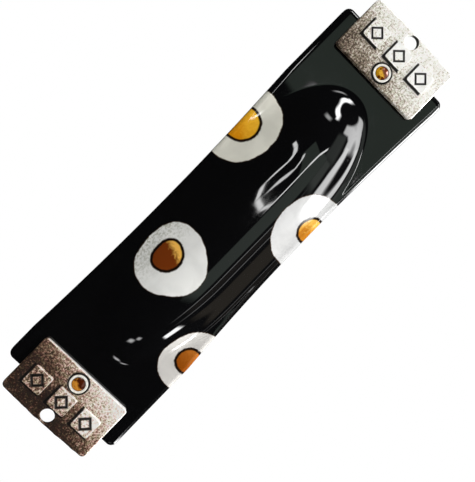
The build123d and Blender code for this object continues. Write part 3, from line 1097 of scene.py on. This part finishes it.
# The studio: panels round the case, placed so that their reflections fall where they do on the real
# glass. Each is seen in a direction from the case: azimuth 0 is straight in front of it and 90 is its
# right-hand side, both in degrees. A panel is (azimuth, elevation, half-width, half-height, turn, softness
# of its edge as a share, brightness).
PANELS = [
    (-6, 72.5, 24, 3.6, -8, 0.4, 22.0),  # overhead lamp
    (9, 69, 7, 4, 0, 0.5, 20.0),
    (-24, 57.5, 13, 2.6, 4, 0.7, 6.0),
    (61, -1, 0.5, 9, -4, 0.6, 3.0),
    (71, -1, 0.5, 9, -4, 0.6, 2.0),
    (79, -17, 3, 4.5, 10, 0.3, 20.0),
    (45, -46, 4.5, 2.4, 25, 0.7, 7.0),
    (37, -57, 7, 2.8, 20, 0.7, 8.0),
    (107, 19, 13, 9, 0, 0.1, 22.0),
    (107, -17, 13, 4, 0, 0.1, 22.0),
]
# Slim lamps, each along a line of directions: its points, then half-thickness and brightness.
SLIM_LAMPS = [
    (((79.5, 10), (81, 16), (83.5, 21), (86, 27), (88, 34)), 3.7, 10.0),  # tall window
    (((88, 34), (88, 43), (80, 51), (64, 55)), 5.4, 8.0),
    (((28.5, 6.2), (29, 9), (30, 13)), 0.9, 14.0),
    (((30, 13), (33, 19), (41, 26)), 1.4, 15.0),
    (((-31, 15.5), (-22, 14.3), (-13, 12.3), (-9, 10), (-12, 7.5)), 0.9, 13.0),
    (((-12, 6.8), (0, 5.8), (20, 5.5), (28, 6.2)), 0.3, 14.0),
    (((4, 13.6), (8, 12.3), (12, 9.3), (4, 7.2)), 0.7, 12.0),
]
# Dim walls of the room: the same seven values, then a colour.
WALLS = [
    (19, 16.2, 17.8, 5.4, -8, 0.05, 0.5, (0.8, 1.0, 0.84)),
    (44, 9, 11.5, 13, 0, 0.1, 0.62, (0.84, 1.0, 0.88)),
    (60, 34, 15, 14, 0, 0.3, 0.5, (0.9, 1.0, 0.92)),
    (63, 16, 8, 5, 0, 0.3, 0.7, (0.9, 1.0, 0.92)),
    (80.5, 0, 3, 8, 0, 0.3, 0.3, (1.0, 0.86, 0.66)),
    (65, 0, 4, 7, 0, 0.3, 0.14, (1.0, 0.86, 0.74)),
]
ROOM_GLOW = 0.015
SOFT_LIGHT = 0.36

world = bpy.data.worlds.new("studio")
bpy.context.scene.world = world
world.use_nodes = True
studio = world.node_tree
studio.nodes.clear()


def linked(kind, values, **settings):
    """What a node of the studio gives for these inputs."""
    return add_node(studio, kind, values, **settings).outputs[0]


def calculated(operation, *values):
    """One arithmetic step in the studio's nodes."""
    return linked("ShaderNodeMath", values, operation=operation)


facing = studio.nodes.new("ShaderNodeTexCoord").outputs["Generated"]
direction = add_node(studio, "ShaderNodeSeparateXYZ", [facing]).outputs
ahead = calculated("MULTIPLY", direction["Y"], -1.0)
azimuth = calculated("DEGREES", calculated("ARCTAN2", direction["X"], ahead))
elevation = calculated("DEGREES", calculated("ARCSINE", direction["Z"]))
bearing = linked("ShaderNodeCombineXYZ", [azimuth, elevation, 0.0])


def panel(middle_azimuth, middle_elevation, half_wide, half_high, turn, soft, brightness):
    """How bright one panel is in each direction."""
    local = linked(
        "ShaderNodeMapping",
        [bearing, (middle_azimuth, middle_elevation, 0), (0, 0, radians(turn)), (half_wide, half_high, 1)],
        vector_type="TEXTURE",
    )
    sides = linked("ShaderNodeVectorMath", [local], operation="ABSOLUTE")
    sides = add_node(studio, "ShaderNodeSeparateXYZ", [sides]).outputs
    shades = [
        mapped(studio, sides[axis], 1 - soft, 1 + soft, 1.0, 0.0, interpolation_type="SMOOTHSTEP")
        for axis in "XY"
    ]
    return calculated("MULTIPLY", calculated("MULTIPLY", *shades), brightness)


light = ROOM_GLOW
for values in PANELS:
    light = calculated("MAXIMUM", light, panel(*values))
for points, half_thickness, brightness in SLIM_LAMPS:
    for (az_a, el_a), (az_b, el_b) in zip(points, points[1:]):
        half_length = np.hypot(az_b - az_a, el_b - el_a) / 2 + half_thickness * 0.5
        turn = np.degrees(np.arctan2(el_b - el_a, az_b - az_a))
        values = ((az_a + az_b) / 2, (el_a + el_b) / 2, half_length, half_thickness, turn)
        light = calculated("MAXIMUM", light, panel(*values, 0.35, brightness))
total = linked("ShaderNodeCombineXYZ", [light, light, light])
for *values, tint in WALLS:
    shade = panel(*values)
    shade = linked("ShaderNodeCombineXYZ", [shade, shade, shade])
    shade = linked("ShaderNodeVectorMath", [shade, tint], operation="MULTIPLY")
    total = linked("ShaderNodeVectorMath", [total, shade], operation="MAXIMUM")
# Shiny surfaces mirror the panels, dull ones get an even soft light, and the camera sees a white backdrop.
reflected = linked("ShaderNodeBackground", [total, 1.0])
soft = linked("ShaderNodeBackground", [(1, 1, 1, 1), SOFT_LIGHT])
backdrop = linked("ShaderNodeBackground", [(1, 1, 1, 1), 1.0])
ray = studio.nodes.new("ShaderNodeLightPath")
shown = linked("ShaderNodeMixShader", [ray.outputs["Is Diffuse Ray"], reflected, soft])
shown = linked("ShaderNodeMixShader", [ray.outputs["Is Camera Ray"], shown, backdrop])
add_node(studio, "ShaderNodeOutputWorld", {"Surface": shown})

# Two lamps that only light, and are not seen in the glass: name, size, power and place (m, W, m).
LAMPS = [
    ("soft_fill", 0.6, 1.5, (0.18, -0.78, 0.45)),
    ("key_lamp", 0.05, 0.32, (0.22, -0.15, 0.28)),
]
for lamp_name, lamp_size, lamp_power, lamp_place in LAMPS:
    lamp = bpy.data.lights.new(lamp_name, "AREA")
    lamp.shape = "DISK"
    lamp.size = lamp_size
    lamp.energy = lamp_power
    lamp_object = bpy.data.objects.new(lamp_name, lamp)
    bpy.context.scene.collection.objects.link(lamp_object)
    lamp_object.location = lamp_place
    lamp_object.rotation_mode = "QUATERNION"
    lamp_object.rotation_quaternion = (-lamp_object.location).to_track_quat("-Z", "Y")
    lamp_object.visible_glossy = False

FLOOR_DROP = 0.2  # m
FLOOR_RADIUS = 0.25
FLOOR_SIDES = 96
floor_mesh = bpy.data.meshes.new("floor")
floor_turns = [2 * pi * k / FLOOR_SIDES for k in range(FLOOR_SIDES)]
floor_ring = [(FLOOR_RADIUS * cos(a), FLOOR_RADIUS * sin(a), -FLOOR_DROP) for a in floor_turns]
floor_mesh.from_pydata(floor_ring, [], [tuple(range(FLOOR_SIDES))])
floor = bpy.data.objects.new("floor", floor_mesh)
bpy.context.scene.collection.objects.link(floor)
floor_stuff = Stuff("floor", (0.85, 0.85, 0.85), 0.8)
floor_mesh.materials.append(floor_stuff.material)
floor.visible_glossy = False
bpy.context.scene.view_settings.view_transform = "Standard"
